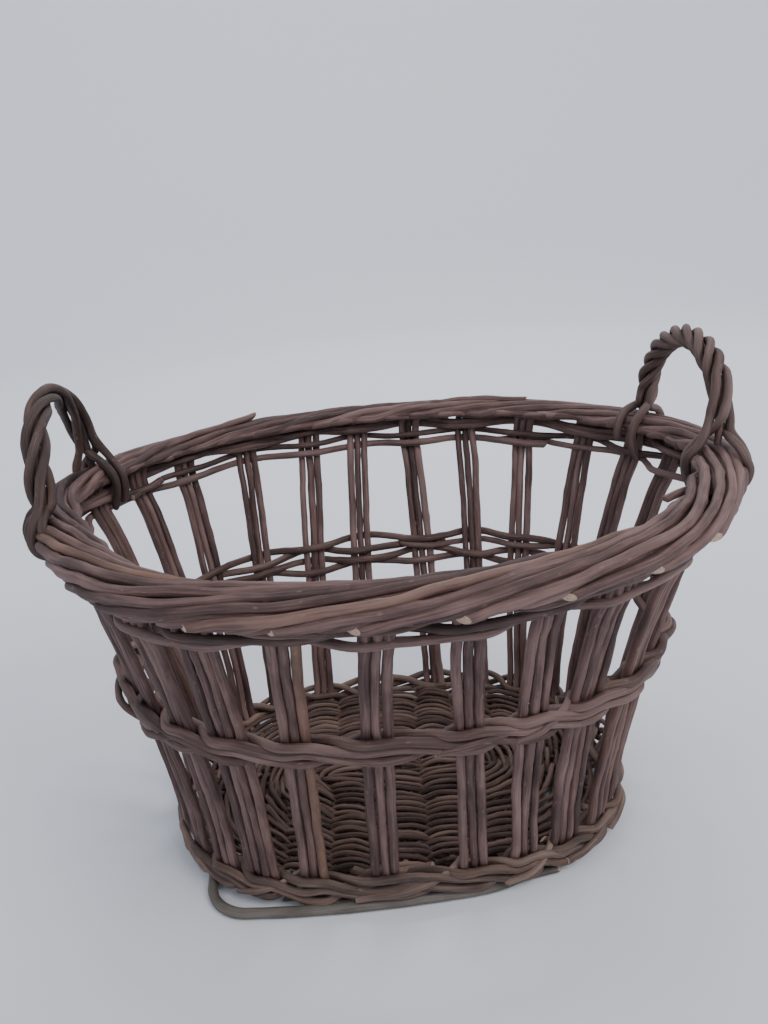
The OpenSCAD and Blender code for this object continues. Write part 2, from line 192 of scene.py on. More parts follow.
class Piece:
    """Collects rods and makes one mesh object of them."""

    def __init__(self, seed):
        self.rng = np.random.default_rng(seed)
        self.verts, self.faces, self.straight, self.looks, self.count = [], [], [], [], 0

    def rod(self, points, d, step=3.0, sides=10, taper=0.0, wander=0.35, wave=55.0,
            tone=None, warm=0.0, knots=True, ends=(1.0, 1.0), faces=(None, None),
            end_taper=0.0, weathered=0.6):
        """A willow rod along the points. d is its thickness at the start, which shrinks by
        the share taper, and by end_taper over its last stretch. wander is how far it strays
        sideways, in waves of length wave. ends say how slanted each cut is, and faces which
        way it looks. tone, warm and weathered go to the bark: how light the rod is, how tan,
        and how much its cuts show pale wood."""
        rng = self.rng
        path = spline(points, step)
        s = np.concatenate([[0], np.cumsum(np.linalg.norm(np.diff(path, axis=0), axis=1))])
        length = s[-1]
        t, u, w = moving_frames(path)
        # it strays between its ends, which stay in place
        fade = np.minimum(1, np.minimum(s, length - s) / END_STAY)[:, None]
        path = path + fade * (u * drift(rng, s, wave, wander)[:, None]
                              + w * drift(rng, s, wave, wander)[:, None])
        t, u, w = moving_frames(path)
        r = d / 2 * (1 - taper * s / length) * (1 + drift(rng, s, 38, 0.022))
        r *= 1 - end_taper * smoothstep(s, length - END_TAPER, length)
        # knots: small swellings, more on one side of the rod
        lump_dir = rng.uniform(0, 2 * math.pi)
        lump = np.zeros(len(s))
        if knots:
            at = rng.uniform(8, 40)
            while at < length - 6:
                lump += rng.uniform(0.05, 0.13) * np.exp(-((s - at) / rng.uniform(2.4, 4.0))**2)
                at += rng.uniform(32, 75)
        phi = 2 * math.pi * np.arange(sides) / sides
        squash = rng.uniform(0.0, 0.05)
        shape = (1 + squash * np.cos(2 * (phi[None] - lump_dir))
                 + lump[:, None] * (0.65 + 0.6 * np.cos(phi[None] - lump_dir)))
        radius = r[:, None] * shape
        cos, sin = np.cos(phi)[None], np.sin(phi)[None]
        # slanted cuts: the last rings are drawn back along the rod
        shift = np.zeros_like(radius)
        for end, sign in ((0, 1), (1, -1)):
            from_end = s if end == 0 else length - s
            turn = rng.uniform(0, 2 * math.pi)
            if faces[end] is not None:
                turn = math.atan2(faces[end] @ w[-end], faces[end] @ u[-end])
            face = ends[end] * r[-end] * (1 + np.cos(phi - turn))
            reach = max(2.2 * face.max(), 0.5)
            share = np.clip(1 - from_end / reach, 0, 1)
            shift += sign * share[:, None] * face[None]
        ring = (path[:, None] + radius[..., None] * (
            cos[..., None] * u[:, None] + sin[..., None] * w[:, None])
            + shift[..., None] * t[:, None])
        cut_start = ring[0].mean(0) + CUT_INSET * (ring[0] - ring[0].mean(0)) - CUT_PROUD * t[0]
        cut_end = ring[-1].mean(0) + CUT_INSET * (ring[-1] - ring[-1].mean(0)) + CUT_PROUD * t[-1]
        verts = np.concatenate([cut_start[None], ring, cut_end[None]])
        rows = len(verts)
        centres = np.stack([cut_start.mean(0) - CUT_CROWN * t[0],
                            cut_end.mean(0) + CUT_CROWN * t[-1]])
        base = self.count
        i = np.arange(rows - 1)[:, None] * sides + base
        k = np.arange(sides)[None]
        m = (k + 1) % sides
        quads = np.stack([i + k, i + m, i + sides + m, i + sides + k], -1).reshape(-1, 4)
        low, high = base + rows * sides, base + rows * sides + 1
        last = base + (rows - 1) * sides
        k, m = k[0], m[0]
        self.faces.extend(quads.tolist())
        self.faces.extend(np.stack([np.full(sides, low), base + m, base + k], -1).tolist())
        self.faces.extend(np.stack([np.full(sides, high), last + k, last + m], -1).tolist())
        self.verts.append(verts.reshape(-1, 3))
        self.verts.append(centres)
        # straightened coordinates, for bark that follows the rod
        offset = rng.uniform(0, 400, 3)
        along = np.concatenate([[s[0] - 0.3], s, [length + 0.3]])
        flat = np.empty((rows, sides, 3))
        flat[..., 0] = np.cos(phi)[None] * d / 2
        flat[..., 1] = np.sin(phi)[None] * d / 2
        flat[..., 2] = along[:, None]
        flat[0, :, :2] *= CUT_INSET
        flat[-1, :, :2] *= CUT_INSET
        flat = np.concatenate([flat.reshape(-1, 3), [[0, 0, along[0]], [0, 0, along[-1]]]])
        self.straight.append(flat + offset)
        look = np.zeros((rows, sides, 3))
        look[..., 0] = rng.normal(0, 1) if tone is None else tone
        look[..., 1] = warm
        look[0, :, 2] = look[-1, :, 2] = weathered
        cap = np.array([[look[0, 0, 0], warm, weathered]] * 2)
        self.looks.append(np.concatenate([look.reshape(-1, 3), cap]))
        self.count += rows * sides + 2

    def build(self, name, material, slot, *nodes):
        """Make the mesh object, which replaces the CAD nodes if there are any."""
        mesh = bpy.data.meshes.new(name)
        verts = np.concatenate(self.verts) / 1000
        mesh.from_pydata(verts.tolist(), [], self.faces)
        mesh.polygons.foreach_set("use_smooth", np.ones(len(mesh.polygons), bool))
        straight = mesh.attributes.new("straight", "FLOAT_VECTOR", "POINT")
        straight.data.foreach_set("vector", (np.concatenate(self.straight) / 1000).ravel())
        looks = np.concatenate(self.looks)
        for k, attribute in enumerate(("tone", "warm", "cut")):
            layer = mesh.attributes.new(attribute, "FLOAT", "POINT")
            layer.data.foreach_set("value", looks[:, k].astype(np.float32))
        mesh.materials.append(material)
        piece = bpy.data.objects.new(name, mesh)
        bpy.context.scene.collection.objects.link(piece)
        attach(piece, "root")
        if nodes:
            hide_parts(*nodes)
        return piece


# ---------------------------------------------------------------- materials
def srgb(r, g, b):
    """A colour given as display values from 0 to 255, as a linear colour."""
    out = []
    for v in (r, g, b):
        v /= 255
        out.append(v / 12.92 if v <= 0.04045 else ((v + 0.055) / 1.055) ** 2.4)
    return (*out, 1.0)


def bark(name, dark, mid, light, warm, pale=srgb(208, 178, 156), rough=0.66):
    """Weathered willow bark: streaks along the rod, blotches, small pores and cut ends."""
    material = bpy.data.materials.new(name)
    material.use_nodes = True
    tree = material.node_tree
    nodes, links = tree.nodes, tree.links
    shader = nodes["Principled BSDF"]

    def node(kind, **values):
        made = nodes.new(kind)
        for key, value in values.items():
            setattr(made, key, value)
        return made

    def attribute(key):
        return node("ShaderNodeAttribute", attribute_name=key)

    def math_node(operation, a, b, clamp=False):
        made = node("ShaderNodeMath", operation=operation, use_clamp=clamp)
        for socket, value in zip(made.inputs, (a, b)):
            if isinstance(value, (int, float)):
                socket.default_value = value
            else:
                links.new(value, socket)
        return made.outputs[0]

    def noise(scale, stretch, detail, roughness=0.55):
        mapping = node("ShaderNodeMapping")
        mapping.inputs["Scale"].default_value = (1, 1, stretch)
        links.new(straight.outputs["Vector"], mapping.inputs["Vector"])
        made = node("ShaderNodeTexNoise")
        made.inputs["Scale"].default_value = scale
        made.inputs["Detail"].default_value = detail
        made.inputs["Roughness"].default_value = roughness
        links.new(mapping.outputs[0], made.inputs["Vector"])
        return made.outputs["Fac"]

    def mix(factor, a, b, blend="MIX"):
        made = node("ShaderNodeMix", data_type="RGBA", blend_type=blend)
        for socket, value in ((made.inputs[0], factor), (made.inputs[6], a), (made.inputs[7], b)):
            if isinstance(value, (int, float, tuple)):
                socket.default_value = value
            else:
                links.new(value, socket)
        return made.outputs[2]

    def ramp(value, low, high):
        made = node("ShaderNodeMapRange", clamp=True)
        made.inputs["From Min"].default_value = low
        made.inputs["From Max"].default_value = high
        links.new(value, made.inputs["Value"])
        return made.outputs[0]

    straight = attribute("straight")
    tone, warmth, cut = (attribute(k).outputs["Fac"] for k in ("tone", "warm", "cut"))
    streaks = noise(900, 0.035, 4)
    blotches = noise(95, 0.32, 3)
    patches = noise(24, 0.8, 2)
    crackle = noise(1500, 0.12, 2, 0.7)
    level = math_node("ADD", math_node("MULTIPLY", blotches, 0.58),
                      math_node("MULTIPLY", streaks, 0.62))
    level = math_node("ADD", level, math_node("MULTIPLY", patches, 0.34))
    level = math_node("ADD", level, math_node("MULTIPLY", tone, 0.075))
    colour = mix(ramp(level, 0.50, 0.78), dark, mid)
    colour = mix(ramp(level, 0.74, 1.06), colour, light)
    colour = mix(math_node("MULTIPLY", warmth, ramp(blotches, 0.25, 0.6), True), colour, warm)
    # small pores across the bark
    mapping = node("ShaderNodeMapping")
    mapping.inputs["Scale"].default_value = (1.0, 1.0, 0.42)
    links.new(straight.outputs["Vector"], mapping.inputs["Vector"])
    pores = node("ShaderNodeTexVoronoi")
    pores.inputs["Scale"].default_value = 290
    links.new(mapping.outputs[0], pores.inputs["Vector"])
    pore = math_node("SUBTRACT", 1, ramp(pores.outputs["Distance"], 0.10, 0.24))
    few = ramp(noise(210, 0.5, 1), 0.53, 0.58)
    pore = math_node("MULTIPLY", pore, few)
    colour = mix(math_node("MULTIPLY", pore, 0.5), colour, light)
    # cut ends show pale wood
    grain = noise(1100, 1.0, 3)
    wood = mix(ramp(grain, 0.3, 0.75), pale, tuple(0.52 * c for c in pale[:3]) + (1.0,))
    colour = mix(ramp(cut, 0.15, 0.75), colour, wood)
    links.new(colour, shader.inputs["Base Color"])
    rough_value = math_node("ADD", math_node("MULTIPLY", streaks, 0.22), rough - 0.11)
    links.new(rough_value, shader.inputs["Roughness"])
    shader.inputs["Specular IOR Level"].default_value = 0.34
    height = math_node("ADD", math_node("MULTIPLY", streaks, 0.9),
                       math_node("MULTIPLY", crackle, 0.35))
    height = math_node("ADD", height, math_node("MULTIPLY", pore, 0.5))
    height = math_node("ADD", height, math_node("MULTIPLY", blotches, 0.6))
    bump = node("ShaderNodeBump")
    bump.inputs["Strength"].default_value = 0.8
    bump.inputs["Distance"].default_value = 0.0004
    links.new(height, bump.inputs["Height"])
    links.new(bump.outputs[0], shader.inputs["Normal"])
    return material


DARK, MID, LIGHT = srgb(52, 39, 37), srgb(96, 73, 69), srgb(138, 111, 105)
TAN = srgb(142, 108, 84)
stake_bark = bark("stake_bark", DARK, MID, LIGHT, TAN)
band_bark = bark("band_bark", srgb(51, 39, 37), srgb(93, 72, 67), srgb(134, 109, 103), TAN)
upsett_bark = bark("upsett_bark", srgb(56, 45, 40), srgb(100, 81, 73), srgb(140, 118, 105),
                   srgb(142, 104, 80))
handle_bark = bark("handle_bark", srgb(48, 38, 35), srgb(86, 68, 63), srgb(128, 106, 99),
                   srgb(140, 100, 76))
base_bark = bark("base_bark", srgb(40, 29, 26), srgb(86, 65, 58), srgb(128, 103, 92),
                 srgb(112, 84, 64))
stick_bark = bark("stick_bark", srgb(36, 30, 27), srgb(66, 54, 49), srgb(98, 84, 75),
                  srgb(112, 84, 64))
hoop_bark = bark("hoop_bark", srgb(54, 50, 46), srgb(90, 84, 77), srgb(122, 115, 106),
                 srgb(120, 100, 76))

# ---------------------------------------------------------------- border section
# A strand's place on the border's section is its distance round an ellipse,
# from 0 at the underside, up the outside and over the top to the inside.
SECTION_W, SECTION_H = 13.7, 7.7
_turn = np.radians(np.linspace(-80, 280, 721))
_ring = np.stack([SECTION_W * np.cos(_turn), SECTION_H * np.sin(_turn)], -1)
_round = np.concatenate([[0], np.cumsum(np.linalg.norm(np.diff(_ring, axis=0), axis=1))])


def section_at(s, depth):
    """Point of the section: s round it, depth below its surface."""
    x, y = (np.interp(s, _round, _ring[:, k]) for k in (0, 1))
    n = np.stack([x / SECTION_W**2, y / SECTION_H**2], -1)
    n /= np.linalg.norm(n, axis=-1, keepdims=True)
    return x - depth * n[..., 0], y - depth * n[..., 1]


def section_length(degrees):
    """Distance round the section to a direction."""
    return float(np.interp(math.radians(degrees), _turn, _round))


INNER_S = section_length(164)     # where the strands come up, inside the basket


def border_path(v0, off0, lane, run, rng):
    """Border strand from the top of its upright, at group place v0 and off0 outwards: a
    tight turn, then up the inside, over the top and down the outside. Lane 0 shows all the
    way, lane 1 lies half under it and lane 2 fills the core. These two end low, at the
    underside, where the next strands cover them."""
    r = np.append(np.arange(0.5, run - 0.12, 0.3), [run - 0.12, run])
    share = ((r - 0.5) / (run - 0.5)) ** 0.88
    low = (9.2, 4.4, 0.6)[lane]
    s = low + (INNER_S - low) * (1 - share) + (0.0, 3.4, 5.6)[lane] * smoothstep(r, 0.4, 1.4)
    s = s + drift(rng, r, 2.3, 0.7)
    under = smoothstep(r, 0.4, 1.2) * (1 - smoothstep(r, run - 1.2, run - 0.2))
    depth = (0.0, 3.2, 5.8)[lane] * under + drift(rng, r, 1.7, 0.35)
    depth = depth - (1.7, 0, 0)[lane] * smoothstep(r, run - 0.5, run - 0.1)
    off, rise = section_at(np.clip(s, 0.2, INNER_S + 4), depth)
    inner = -10.6 + 2.3 * lane
    r = np.concatenate([[0.0, 0.012, 0.07, 0.22], r])
    off = np.concatenate([[off0, off0 - 0.3, 0.5 * off0 + 0.5 * inner, inner], off])
    rise = np.concatenate([[-7.5, -4.0, -1.0, 0.8], rise])
    return in_border(v0 - r, off, rise)


def rim_place(xy, v):
    """Place in groups, near v, and distance outwards of a point beside the border's line."""
    t = float(group_angle(v))
    for _ in range(5):    # steps of a search, which soon settles
        p = border_line(np.array(t))
        ahead = border_line(np.array(t + 0.5)) - p
        t += 0.5 * float((xy - p) @ ahead / (ahead @ ahead))
    out = outward(border_line(np.array(t - 0.5)), border_line(np.array(t + 0.5)))
    return float(np.interp(t, ANGLES, INDEX)), float((xy - border_line(np.array(t))) @ out)


# Groups with four uprights, and how warm the rods of some groups are
FOUR_RODS = {18: 4, 23: 4}
WARM = {19: (0.0, 0.1, 0.45), 3: (0.1, 0.0, 0.0), 9: (0.0, 0.15, 0.0), 23: (0.0, 0.0, 0.15, 0.0),
        18: (0.0, 0.0, 0.1, 0.1), 24: (0.15, 0.0, 0.25), 12: (0.0, 0.1, 0.0)}


def stake_group(i):
    """Upright rods of group i (from 1) from their butts to their ends in the border."""
    piece = Piece(100 + i)
    rng = piece.rng
    v = i - 1
    count = FOUR_RODS.get(i, 3)
    t = group_angle(np.array(float(v)))
    foot, rim = wall_foot(t), wall_rim(t)
    across = (rim - foot) / np.linalg.norm(rim - foot)
    tangent = wall(t + 1, MIDDLE_Z) - wall(t - 1, MIDDLE_Z)
    along = tangent / (across[0] * tangent[1] - across[1] * tangent[0])
    reach = float(np.linalg.norm(rim - foot))
    warm = WARM.get(i, (0.0,) * count)
    for k in range(count):
        side = (k - (count - 1) / 2) * STAKE_PITCH * (0.93 if count > 3 else 1.0)
        d = STAKE_D * rng.uniform(0.93, 1.09)
        heights = np.array([22.0, 50, 85, 122, 160, 195, STAKE_TOP])
        sway = drift(rng, heights, 260, 0.6) * (0.4, 1, 1, 1, 1, 0.8, 0.3)
        depth = drift(rng, heights, 200, 0.45)
        # the butt beside the base sticks, and the bend upwards
        points = [(-14, STICK_Z), (-6.5, STICK_Z + 0.2), (-1.6, 14.8)]
        path = [np.array([*(foot + across * a + along * side * 1.04), z]) for a, z in points]
        for z, x, y in zip(heights, sway, depth):
            xy = foot + across * (reach * float(flare(t, z)) + y) + along * (side + x)
            path.append(np.array([*xy, z]))
        lane = min(2, count - 1 - k)
        run = 6.25 + rng.uniform(-0.2, 0.2) - 0.42 * lane
        if k == 0 and count > 3:
            run -= 0.9
        place, off = rim_place(path.pop()[:2], float(v))
        path.extend(border_path(place, off, lane, run, rng))
        cut_at = group_angle(np.array(place - run))
        face = np.array([*outward(border_line(cut_at - 0.5), border_line(cut_at + 0.5)), -0.1])
        piece.rod(path, d, step=2.6, taper=-0.08, wander=0.18, warm=warm[k],
                  ends=(0.4, rng.uniform(1.3, 1.8)), faces=(None, face), end_taper=0.12,
                  weathered=rng.uniform(0.7, 1.0) if lane == 0 else 0.2)
    piece.build(f"stake_group_{i:02d}", stake_bark, "stake_willow", f"stakes_{i:02d}")


for number in range(1, GROUPS + 1):
    stake_group(number)


# ---------------------------------------------------------------- woven bands
def wale(m, rods, z, step, off):
    """Places of a waling rod at and just after a group, as distance and height. It stays
    outside for all but one group in turn, sinking a level each time, and climbs inside."""
    phase = m % rods
    if phase == 0:
        return (-off, z + (rods - 2.6) * step), (0, z + (rods - 2.1) * step)
    here = z + (rods - 1 - phase) * step
    after = (0, here + 0.6 * step) if phase == rods - 1 else (off + 0.2, here - 0.45 * step)
    return (off, here), after


def pair_by_level(m, rods, z, off):
    """The same for a thin band rod that keeps its own level z: outside for all but one
    group in turn, and inside for that one."""
    return ((-off, z), (0, z)) if m % rods == 0 else (
        (off, z), (0, z) if m % rods == rods - 1 else (off, z))


def band(name, seed, k, rods, place, off, d, breaks, material, slot, node, loose, warm=0.0,
         back_level=None):
    """Rod k of a woven band, made of lengths that meet behind the groups in breaks.
    place gives its path and loose how much it strays in front and behind. A back_level is
    the height at which the rod runs in and out of the groups at the back."""
    piece = Piece(seed)
    rng = piece.rng
    cuts = sorted(b for b in range(GROUPS) if (b - k) % rods == 0)
    cuts = [cuts[int(len(cuts) * share) % len(cuts)] for share in breaks]
    for n, start in enumerate(cuts):
        stop = cuts[(n + 1) % len(cuts)]
        if stop <= start:
            stop += GROUPS
        rows = []
        for g in range(start, stop + 1):
            here, after = place((g % GROUPS) - k)
            if g == start:    # it comes out from behind a group
                rows.append((g - 0.44, -off - 2.2, here[1] + 2.4))
            if g == stop:    # and ends behind another
                z = place(0)[0][1]
                rows.extend([(g - 0.25, -off, z - 0.6), (g + 0.12, -off - 0.3, z - 1.2),
                             (g + 0.46, -off - 3.2, z - 2.0)])
                break
            rows.extend([(g - 0.22, *here), (g + 0.22, *here), (g + 0.5, *after)])
        rows = np.array(rows)
        back = 0.5 + 0.5 * np.sin(np.radians(group_angle(rows[:, 0])))
        amount = loose[0] + (loose[1] - loose[0]) * back
        if back_level is not None:
            flat = smoothstep(back, 0.72, 0.9)
            in_out = np.clip(7.5 * np.cos(math.pi * (rows[:, 0] + k)), -4.6, 4.6)
            rows[:, 1] += flat * (in_out - rows[:, 1])
            rows[:, 2] += flat * (back_level - rows[:, 2])
        rows[:, 1] += drift(rng, rows[:, 0], 2.6, 0.2)
        rows[:, 2] += amount * drift(rng, rows[:, 0], 3.1, 1.0)
        piece.rod(beside_wall(rows[:, 0], rows[:, 1], rows[:, 2]), d * rng.uniform(0.95, 1.06),
                  step=2.6, taper=0.14, wander=0.14, warm=warm * rng.uniform(0.2, 1),
                  ends=(rng.uniform(0.3, 1.1), rng.uniform(0.3, 1.1)))
    piece.build(name, material, slot, node)


for k in range(4):
    band(f"upsett_rod_{k + 1}_willow", 300 + k, k, 4, lambda m: wale(m, 4, UPSETT_Z, 6.3, 5.6),
         5.6, 5.3, (0.1 + 0.11 * k, 0.6 + 0.07 * k), upsett_bark, "upsett_willow",
         f"upsett_rod_{k + 1}",
         (1.5, 1.0), (0.0, 0.15, 0.05, 0.3)[k])
    band(f"middle_band_rod_{k + 1}_willow", 320 + k, k, 4, lambda m: wale(m, 4, MIDDLE_Z, 6.1, 5.6),
         5.6, 5.9, (0.02 + 0.2 * k, 0.45 + 0.17 * k), band_bark, "band_willow",
         f"middle_band_rod_{k + 1}", (0.5, 1.1), (0.05, 0.0, 0.1, 0.05)[k],
         (122.0, 134.5, 127.5, 140.5)[k])
for k in range(3):
    level = TOP_LEVELS[k]
    band(f"top_band_rod_{k + 1}_willow", 340 + k, k, 3,
         lambda m: pair_by_level(m, 3, level, 5.2), 5.2, 5.4,
         (0.2 + 0.2 * k, 0.65 + 0.1 * k), band_bark, "band_willow", f"top_band_rod_{k + 1}",
         (0.5, 0.7), 0.0, (213.0, 219.5, 225.5)[k])

# Two more thin rods close the top band under the border
for k, node in ((2, "top_band_rod_3"), (0, "top_band_rod_1")):
    band(f"top_band_upper_rod_{k}_willow", 350 + k, k, 3,
         lambda m: pair_by_level(m, 3, TOP_FILLER_Z, 5.0), 5.0, 5.2, (0.3, 0.8), band_bark,
         "band_willow", node, (0.4, 0.4), 0.0, 228.0)

# Ends that stand out of the bands, as place in groups, distance outwards and height
LOOSE_UPSETT = (((18.6, 7, 9), (19.2, 8, 15), (19.6, 3, 21), (19.9, -6, 26)),
                ((20.5, 7, 8), (21.1, 8, 14), (21.5, 3, 21), (21.9, -6, 27)),
                ((21.9, 7, 9), (22.4, 9, 13), (22.9, 8, 18), (23.3, 3, 22)),
                ((23.4, 7, 7), (23.9, 9, 11), (24.5, 8, 17), (24.9, -3, 23)),
                ((16.4, 7, 8), (16.9, 8.5, 13), (17.4, 4, 19), (17.8, -5, 24)),
                ((25.3, 1, 17), (25.8, 9.5, 22), (26.3, 9.5, 26), (26.7, 3, 27)),
                ((24.9, 2, 9), (25.4, 10, 12), (25.9, 9.5, 16), (26.4, 4, 18)))
LOOSE_MIDDLE = (((20.6, 6, 126), (21.1, 8, 132), (21.5, 3, 138), (21.85, -7, 143)),
                ((19.5, 6, 127), (20.0, 8, 131), (20.5, 6, 135), (20.9, -3, 138)),
                ((12.9, 5, 131), (13.4, 10, 130), (14.0, 11.5, 126), (14.5, 5, 121)),
                ((24.4, 5, 136), (24.9, 10, 135), (25.5, 11, 131), (26.0, 4, 127)),
                ((14.6, 6, 122), (15.2, 9, 124), (15.7, 7, 129), (16.2, -3, 134)))
LOOSE_TOP = (((24.5, 5, 208), (25.0, 3, 199), (25.5, -4, 189)),
             ((25.6, 5, 208), (25.2, 4, 200), (24.8, -3, 190)),
             ((15.4, -6, 205), (15.1, -2, 212), (14.8, 4, 217)))
for name, seed, ends, d, material, slot in (
        ("upsett_loose_ends", 360, LOOSE_UPSETT, 4.8, upsett_bark, "upsett_willow"),
        ("middle_band_loose_ends", 361, LOOSE_MIDDLE, 5.0, band_bark, "band_willow"),
        ("top_band_loose_ends", 362, LOOSE_TOP, 3.8, band_bark, "band_willow")):
    piece = Piece(seed)
    for points in ends:
        piece.rod(beside_wall(*np.array(points, float).T), d * piece.rng.uniform(0.9, 1.06),
                  step=2.0, taper=0.2, wander=0.2, ends=(0.5, piece.rng.uniform(0.8, 1.8)))
    piece.build(name, material, slot)

# Two border rods end on top of the border behind, and one stands inwards at the right
piece = Piece(363)
for points in (((9.7, -5, 4), (9.1, -4, 8.6), (8.4, -1.5, 10.6), (7.78, 2, 14.2)),
               ((5.0, -1, 5), (4.3, 0.5, 9.3), (3.6, 1.5, 10.4), (2.98, 3.5, 9.6)),
               ((12.2, -7, 3), (11.6, -8, 6.6), (10.9, -6, 9.4), (10.2, -2, 10.4))):
    piece.rod(in_border(*np.array(points, float).T), 5.2, step=2.4, wander=0.3,
              ends=(0.5, 1.2), weathered=0.3)
piece.rod([(190, -57, 233), (184, -61, 235.5), (170, -71, 236), (153, -82, 235)], 4.8, step=2.4,
          wander=0.3, ends=(0.5, 0.9), weathered=0.5)
piece.build("border_loose_ends", stake_bark, "stake_willow")

# ---------------------------------------------------------------- base
CROSS_X = [(k - 3) * 30 - BASE_OFFSET for k in range(7)]
LONG_Y = [(k - 1) * 16 for k in range(3)]
WEAVE_A, WEAVE_B, WEAVE_CORE, WEAVE_PITCH, WEAVE_START = 139, 103, 46, 5.7, 2.3
LONG_ONLY = 95     # how far out along the basket only the long sticks cross the weave


def weave_ring(t, d):
    """Point of the base weave at direction t and distance d from its long core."""
    square = 2 + 0.7 * min(1.0, d / WEAVE_B)
    return (oval(t, WEAVE_CORE + d * (WEAVE_A - WEAVE_CORE) / WEAVE_B, d, square)
            - (BASE_OFFSET, 0))


def base_weave(seed, sign, name, node):
    """One of the two weavers, which cross each other between the sticks."""
    piece = Piece(seed)
    rng = piece.rng
    turns = (WEAVE_B - WEAVE_START) / WEAVE_PITCH
    t = np.arange(0, 360 * turns, 1.5)
    d = WEAVE_START + WEAVE_PITCH * t / 360
    xy = np.array([weave_ring(a, b) for a, b in zip(t, d)])
    # the weaver passes a stick each time that it crosses one of their lines
    passed = np.zeros(len(t))
    for x in CROSS_X:
        passed[1:] += np.cumsum((xy[1:, 0] - x) * (xy[:-1, 0] - x) < 0)
    for y in LONG_Y:
        far = np.abs(xy[1:, 0] + BASE_OFFSET) > LONG_ONLY
        passed[1:] += np.cumsum(((xy[1:, 1] - y) * (xy[:-1, 1] - y) < 0) & far)
    marks = np.flatnonzero(np.diff(passed) > 0)
    phase = np.interp(np.arange(len(t)), marks, np.arange(len(marks)))
    # the two weavers twist round each other, one turn for every two sticks
    lift = np.cos(math.pi * phase)
    lift = sign * np.sign(lift) * np.abs(lift) ** 0.8
    swing = sign * np.sin(math.pi * phase)
    away = xy / np.linalg.norm(xy, axis=1, keepdims=True)
    swing *= 1.1 + drift(rng, t, 310, 0.5)
    xy = xy + away * (swing + drift(rng, t, 130, 0.7) + drift(rng, t, 47, 0.5))[:, None]
    z = STICK_Z + 4.6 * lift + drift(rng, t, 170, 0.35)
    points = np.column_stack([xy, z])
    # each weaver is made of many rods, one after the other
    start = 0
    while start < len(t) - 40:
        stop = min(len(t), start + int(rng.uniform(200, 340)))
        part = points[start:stop]
        piece.rod(part, 4.1 * rng.uniform(0.84, 1.08), step=3.2, sides=8, taper=0.22, wander=0.2,
                  wave=30, warm=0.15 * max(0.0, rng.normal(0, 0.5)), ends=(0.6, 0.6))
        start = stop - 6
    piece.build(name, base_bark, "base_weave", node)


base_weave(401, 1, "base_weaver_1", "base_weave_upper")
base_weave(402, -1, "base_weaver_2", "base_weave_lower")


def stick_reach(at, a, b):
    """Half length of a base stick that lies at a distance from the middle of the oval."""
    return (b - 12) * (1 - (abs(at) / a) ** FOOT_SQUARE) ** (1 / FOOT_SQUARE)


sticks = Piece(410)
for x in CROSS_X:
    half = stick_reach(x + BASE_OFFSET, FOOT_A, FOOT_B)
    sticks.rod([(x, -half, STICK_Z), (x + 0.5, -half / 2, STICK_Z + 0.2), (x, 0, STICK_Z),
                (x - 0.4, half / 2, STICK_Z), (x, half, STICK_Z)], 5.6, step=4, wander=0.15)
sticks.build("base_cross_rods", stick_bark, "base_sticks", "base_cross_sticks")
sticks = Piece(411)
for y in LONG_Y:
    half = stick_reach(y, FOOT_B, FOOT_A)
    sticks.rod([(x - BASE_OFFSET, y, STICK_Z) for x in (-half, 0, half)], 3.0, step=4,
               wander=0.05)
sticks.build("base_long_rods", stick_bark, "base_sticks", "base_long_sticks")

# ---------------------------------------------------------------- foot hoop
# Half its length and width, the radii of its left and right corners, its thickness,
# its height, and how far it sits to the left
HOOP_X, HOOP_Y, HOOP_TIGHT, HOOP_WIDE, HOOP_D, HOOP_Z = 125, 113, 27, 96, 6.6, 3.5
HOOP_OFFSET = 6


def hoop_path():
    """The hoop as points, starting and ending behind, where its ends overlap."""
    points = []
    corners = ((HOOP_WIDE, 1, 1, 0), (HOOP_TIGHT, -1, 1, 90),
               (HOOP_TIGHT, -1, -1, 180), (HOOP_WIDE, 1, -1, 270))
    for r, sx, sy, start in corners:
        for a in np.radians(np.linspace(start, start + 90, 9)):
            points.append((sx * (HOOP_X - r) + r * math.cos(a),
                           sy * (HOOP_Y - r) + r * math.sin(a)))
    return points


hoop = Piece(420)
ring = hoop_path()
ring = ring[5:] + ring[:6]
hoop.rod([(x - HOOP_OFFSET, y, HOOP_Z) for x, y in ring], HOOP_D, step=3, wander=0.0,
         sides=12, taper=0.05, knots=False, ends=(1.2, 1.2))
hoop.build("foot_hoop_rod", hoop_bark, "hoop_willow", "foot_hoop")
# A shorter rod lies inside the hoop along its front
hoop = Piece(421)
hoop.rod([(-86, -101.6, 3.4), (-46, -105.2, 3.3), (16, -106, 3.3), (58, -105, 3.3),
          (90, -100, 3.5)], 5.8, step=3, taper=0.2, wander=0.1, ends=(0.8, 0.8))
hoop.build("foot_hoop_inner_rod", hoop_bark, "hoop_willow")

# ---------------------------------------------------------------- handles
# Ways of a handle rod's foot round the border: outside it, or down its inside
FOOT_OUTSIDE = ((2, -13), (9.5, -11), (15.2, -6.5), (17.2, 1), (14.0, 9.5))
FOOT_INSIDE = ((-12.5, -20), (-16.0, -13), (-18.0, -4), (-17.0, 4.5), (-11.5, 11.5))
FOOT_TUCKED = ((-14.5, -8), (-17.6, -3), (-16.6, 5), (-11.0, 11.5))
FOOT_SUNK = ((6, -3), (9, 1), (10.5, 6))


def in_border_at(side, angle, off, rise):
    """Point of the border's section at an angle behind the right (side 1) or left end."""
    t = np.array(angle if side > 0 else 180.0 - angle)
    p = border_line(t) + off * outward(border_line(t - 0.5), border_line(t + 0.5))
    return np.array([*p, BORDER_Z + rise])


